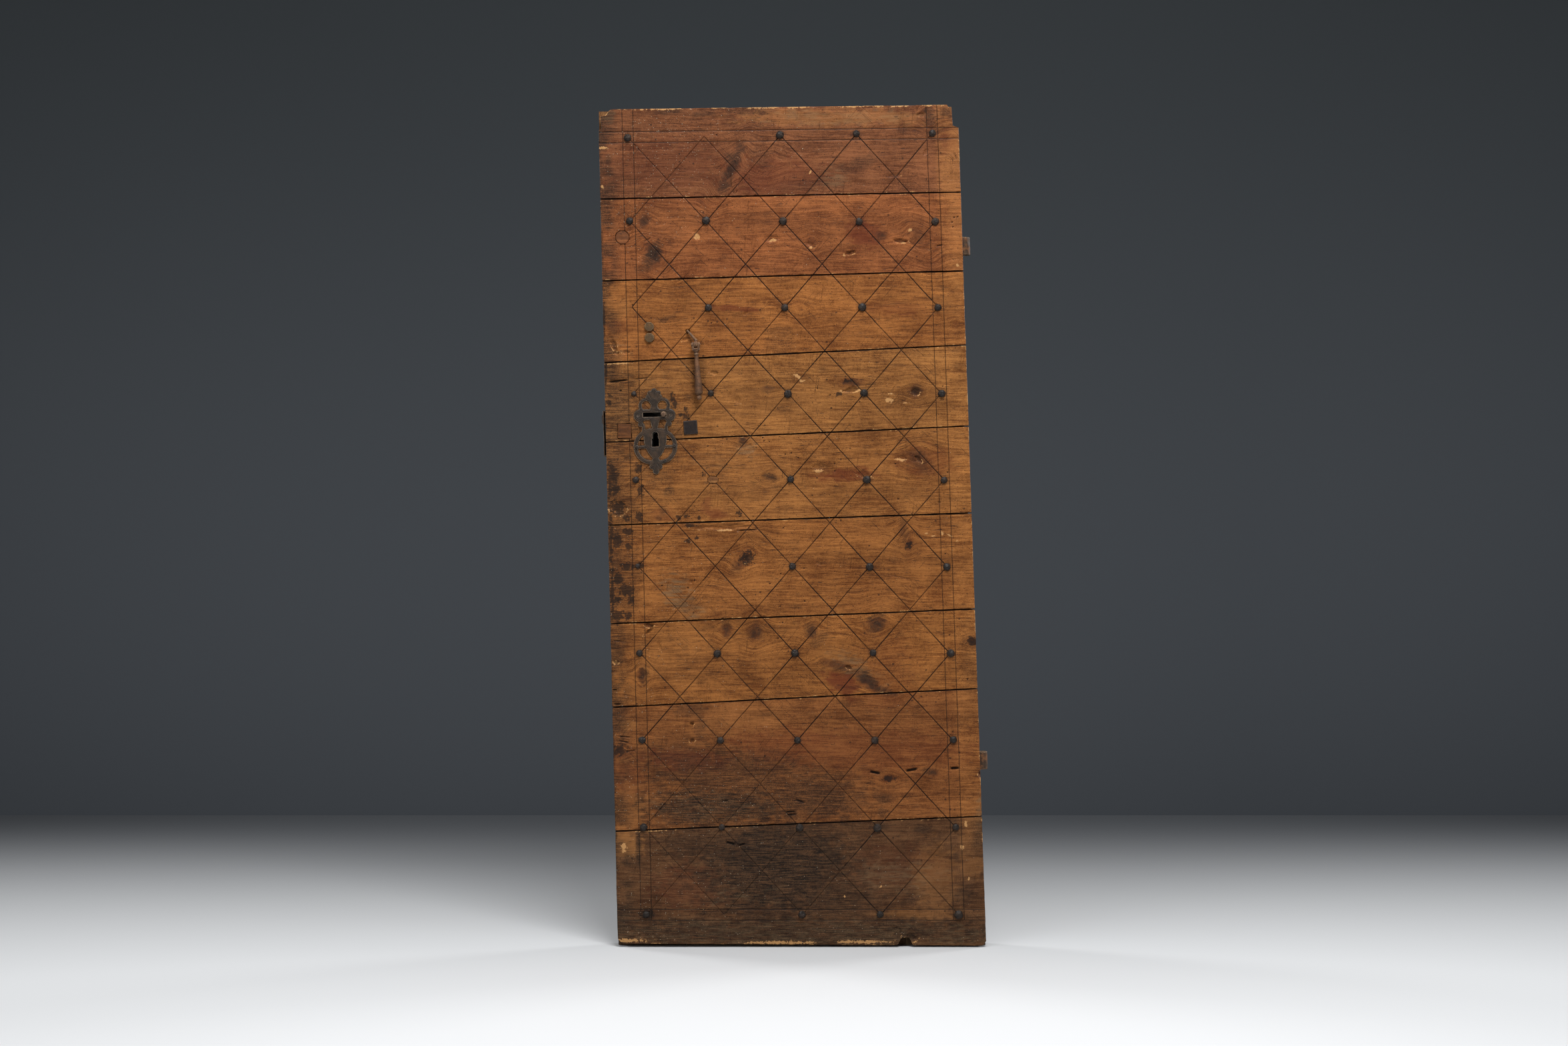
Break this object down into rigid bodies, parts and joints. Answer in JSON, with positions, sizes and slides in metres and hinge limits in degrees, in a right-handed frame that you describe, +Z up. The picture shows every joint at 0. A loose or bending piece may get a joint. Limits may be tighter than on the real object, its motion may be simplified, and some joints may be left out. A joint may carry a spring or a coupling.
{
  "type": "plank door leaf",
  "caption": "Old rectangular plank door leaf with an incised diamond lattice, forged nails, pierced lock plate, drop handle, rim lock and strap hinges.",
  "frame": {"origin": "on the hinge axis, at the middle of the lower hinge eye", "axes": "+Z up the door, -Y out of its front face, +X towards the hinge edge"},
  "size_m": [0.871, 0.1282, 1.8698],
  "materials": {
    "front_boards": "worn waxed softwood with dark stains and soot",
    "back_planks": "rough unwaxed softwood",
    "inlay_wood": "worn wood let in flush",
    "nail_iron": "hammered dark iron",
    "plate_iron": "dark forged iron with worn edges",
    "lock_iron": "rusted sheet iron",
    "bolt_iron": "rubbed iron",
    "handle_iron": "rusty forged iron",
    "hinge_iron": "rusty forged iron"
  },
  "bodies": {
    "leaf": {"front_board_1": "front_boards", "front_board_2": "front_boards", "front_board_3": "front_boards", "front_board_4": "front_boards", "front_board_5": "front_boards", "front_board_6": "front_boards", "front_board_7": "front_boards", "front_board_8": "front_boards", "front_board_9": "front_boards", "back_plank_1": "back_planks", "back_plank_2": "back_planks", "back_plank_3": "back_planks", "back_plank_4": "back_planks", "back_plank_5": "back_planks", "forged_nails": "nail_iron", "lock_plate": "plate_iron", "plate_pins": "nail_iron", "lock_case": "lock_iron", "lock_case_nails": "nail_iron", "lock_stay_bolt": "lock_iron", "key_pin": "bolt_iron", "bolt_spring": "bolt_iron", "handle_staple": "handle_iron", "upper_hinge": "hinge_iron", "lower_hinge": "hinge_iron", "hinge_nails": "nail_iron", "octagon_bolts": "lock_iron", "round_bung": "inlay_wood", "square_patch": "inlay_wood", "nail_plug": "inlay_wood"},
    "handle": {"drop_handle": "handle_iron", "handle_pin": "handle_iron"},
    "latch": {"latch_bolt": "bolt_iron", "latch_knob": "bolt_iron"},
    "bolt": {"dead_bolt": "bolt_iron"}
  },
  "joints": [
    {"name": "handle_swing", "type": "hinge", "parent": "leaf", "child": "handle", "pos_m": [-0.63787, -0.091, 0.928], "axis": [-0.9977, 0, -0.068], "range_deg": [0, 100]},
    {"name": "latch_slide", "type": "slide", "parent": "leaf", "child": "latch", "axis": [-0.9996, 0, -0.0288], "range_m": [0, 0.04]},
    {"name": "key_bolt_slide", "type": "slide", "parent": "leaf", "child": "bolt", "axis": [-0.9996, 0, -0.0288], "range_m": [0, 0.022]}
  ]
}
